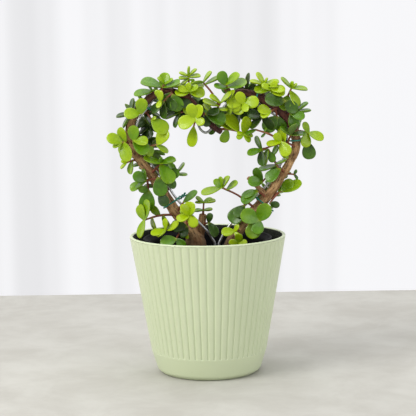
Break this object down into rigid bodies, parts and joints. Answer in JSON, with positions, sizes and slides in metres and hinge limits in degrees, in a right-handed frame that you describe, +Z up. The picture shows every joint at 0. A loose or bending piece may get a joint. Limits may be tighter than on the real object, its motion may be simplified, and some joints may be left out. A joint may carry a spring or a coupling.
{
  "type": "potted jade plant",
  "caption": "Small-leaved jade plant whose woody stems are trained as a heart on a wire, in a plastic nursery pot standing in a ribbed, tapered ceramic cover pot.",
  "frame": {"origin": "centre of the cover pot's flat underside", "axes": "+Z up; -Y is the side seen first, where the heart is seen full on; +X is that viewer's right"},
  "size_m": [0.194, 0.14, 0.2749],
  "materials": {
    "sage_glaze": "satin sage-green glaze",
    "black_plastic": "satin black polypropylene",
    "soil": "moist dark peat and bark fines",
    "bark": "ridged tan bark, dark red-brown on the upper stems",
    "galvanised_wire": "dull galvanised",
    "tie_plastic": "teal green plastic coating on thin wire",
    "leaves_apex": "bright, young succulent leaves, waxy",
    "leaves_back_left_crown": "dark, full-grown succulent leaves, waxy",
    "leaves_back_left_high": "dark, full-grown succulent leaves, waxy",
    "leaves_back_left_low": "dark, full-grown succulent leaves, waxy",
    "leaves_back_right_crown": "dark, full-grown succulent leaves, waxy",
    "leaves_back_right_high": "dark, full-grown succulent leaves, waxy",
    "leaves_back_right_low": "dark, full-grown succulent leaves, waxy",
    "leaves_bark_left": "mid green succulent leaves, waxy",
    "leaves_centre_dark": "dark, full-grown succulent leaves, waxy",
    "leaves_centre_shoot": "bright, young succulent leaves, waxy",
    "leaves_crown_glossy": "dark, full-grown succulent leaves, waxy",
    "leaves_crown_left": "mid green succulent leaves, waxy",
    "leaves_crown_mid": "mid green succulent leaves, waxy",
    "leaves_crown_mid_back": "dark, full-grown succulent leaves, waxy",
    "leaves_crown_right": "bright, young succulent leaves, waxy",
    "leaves_droop": "bright, young succulent leaves, waxy",
    "leaves_front_mid": "bright, young succulent leaves, waxy",
    "leaves_heart_leaf": "bright, young succulent leaves, waxy",
    "leaves_hole_sprig": "mid green succulent leaves, waxy",
    "leaves_inner_bright": "bright, young succulent leaves, waxy",
    "leaves_inner_bright_right": "bright, young succulent leaves, waxy",
    "leaves_inner_left_a": "mid green succulent leaves, waxy",
    "leaves_inner_left_b": "mid green succulent leaves, waxy",
    "leaves_left_dark": "dark, full-grown succulent leaves, waxy",
    "leaves_left_front": "mid green succulent leaves, waxy",
    "leaves_left_low": "mid green succulent leaves, waxy",
    "leaves_left_node": "bright, young succulent leaves, waxy",
    "leaves_left_skirt": "bright, young succulent leaves, waxy",
    "leaves_left_small": "bright, young succulent leaves, waxy",
    "leaves_lobe_deep": "dark, full-grown succulent leaves, waxy",
    "leaves_lobe_inner": "dark, full-grown succulent leaves, waxy",
    "leaves_lobe_outer": "bright, young succulent leaves, waxy",
    "leaves_low_node": "mid green succulent leaves, waxy",
    "leaves_low_right_a": "dark, full-grown succulent leaves, waxy",
    "leaves_low_rosette": "bright, young succulent leaves, waxy",
    "leaves_notch_dark": "dark, full-grown succulent leaves, waxy",
    "leaves_notch_spray": "bright, young succulent leaves, waxy",
    "leaves_red_shoot": "mid green succulent leaves, waxy",
    "leaves_right_cluster": "bright, young succulent leaves, waxy",
    "leaves_right_glossy": "dark, full-grown succulent leaves, waxy",
    "leaves_right_shoulder": "dark, full-grown succulent leaves, waxy",
    "leaves_right_spray": "bright, young succulent leaves, waxy",
    "leaves_right_tip": "bright, young succulent leaves, waxy",
    "leaves_rim_left": "bright, young succulent leaves, waxy",
    "leaves_rim_right": "bright, young succulent leaves, waxy",
    "leaves_rosette": "bright, young succulent leaves, waxy",
    "leaves_shoulder_left": "mid green succulent leaves, waxy",
    "leaves_stub_leaves": "dark, full-grown succulent leaves, waxy",
    "leaves_tie_side": "mid green succulent leaves, waxy"
  },
  "bodies": {
    "root": {"heart_wire": "galvanised_wire", "nursery_pot": "black_plastic", "planter_pot": "sage_glaze", "potting_soil": "soil", "sprig_apex": "leaves_apex", "sprig_back_left_crown": "leaves_back_left_crown", "sprig_back_left_high": "leaves_back_left_high", "sprig_back_left_low": "leaves_back_left_low", "sprig_back_right_crown": "leaves_back_right_crown", "sprig_back_right_high": "leaves_back_right_high", "sprig_back_right_low": "leaves_back_right_low", "sprig_bark_left": "leaves_bark_left", "sprig_centre_dark": "leaves_centre_dark", "sprig_centre_shoot": "leaves_centre_shoot", "sprig_crown_glossy": "leaves_crown_glossy", "sprig_crown_left": "leaves_crown_left", "sprig_crown_mid": "leaves_crown_mid", "sprig_crown_mid_back": "leaves_crown_mid_back", "sprig_crown_right": "leaves_crown_right", "sprig_droop": "leaves_droop", "sprig_front_mid": "leaves_front_mid", "sprig_heart_leaf": "leaves_heart_leaf", "sprig_hole_sprig": "leaves_hole_sprig", "sprig_inner_bright": "leaves_inner_bright", "sprig_inner_bright_right": "leaves_inner_bright_right", "sprig_inner_left_a": "leaves_inner_left_a", "sprig_inner_left_b": "leaves_inner_left_b", "sprig_left_dark": "leaves_left_dark", "sprig_left_front": "leaves_left_front", "sprig_left_low": "leaves_left_low", "sprig_left_node": "leaves_left_node", "sprig_left_skirt": "leaves_left_skirt", "sprig_left_small": "leaves_left_small", "sprig_lobe_deep": "leaves_lobe_deep", "sprig_lobe_inner": "leaves_lobe_inner", "sprig_lobe_outer": "leaves_lobe_outer", "sprig_low_node": "leaves_low_node", "sprig_low_right_a": "leaves_low_right_a", "sprig_low_rosette": "leaves_low_rosette", "sprig_notch_dark": "leaves_notch_dark", "sprig_notch_spray": "leaves_notch_spray", "sprig_red_shoot": "leaves_red_shoot", "sprig_right_cluster": "leaves_right_cluster", "sprig_right_glossy": "leaves_right_glossy", "sprig_right_shoulder": "leaves_right_shoulder", "sprig_right_spray": "leaves_right_spray", "sprig_right_tip": "leaves_right_tip", "sprig_rim_left": "leaves_rim_left", "sprig_rim_right": "leaves_rim_right", "sprig_rosette": "leaves_rosette", "sprig_shoulder_left": "leaves_shoulder_left", "sprig_stub_leaves": "leaves_stub_leaves", "sprig_tie_side": "leaves_tie_side", "stem_left": "bark", "stem_right": "bark", "tie_crown_left": "tie_plastic", "tie_crown_right": "tie_plastic", "tie_left_low": "tie_plastic", "tie_right_high": "tie_plastic", "tie_right_low": "tie_plastic"}
  },
  "joints": []
}
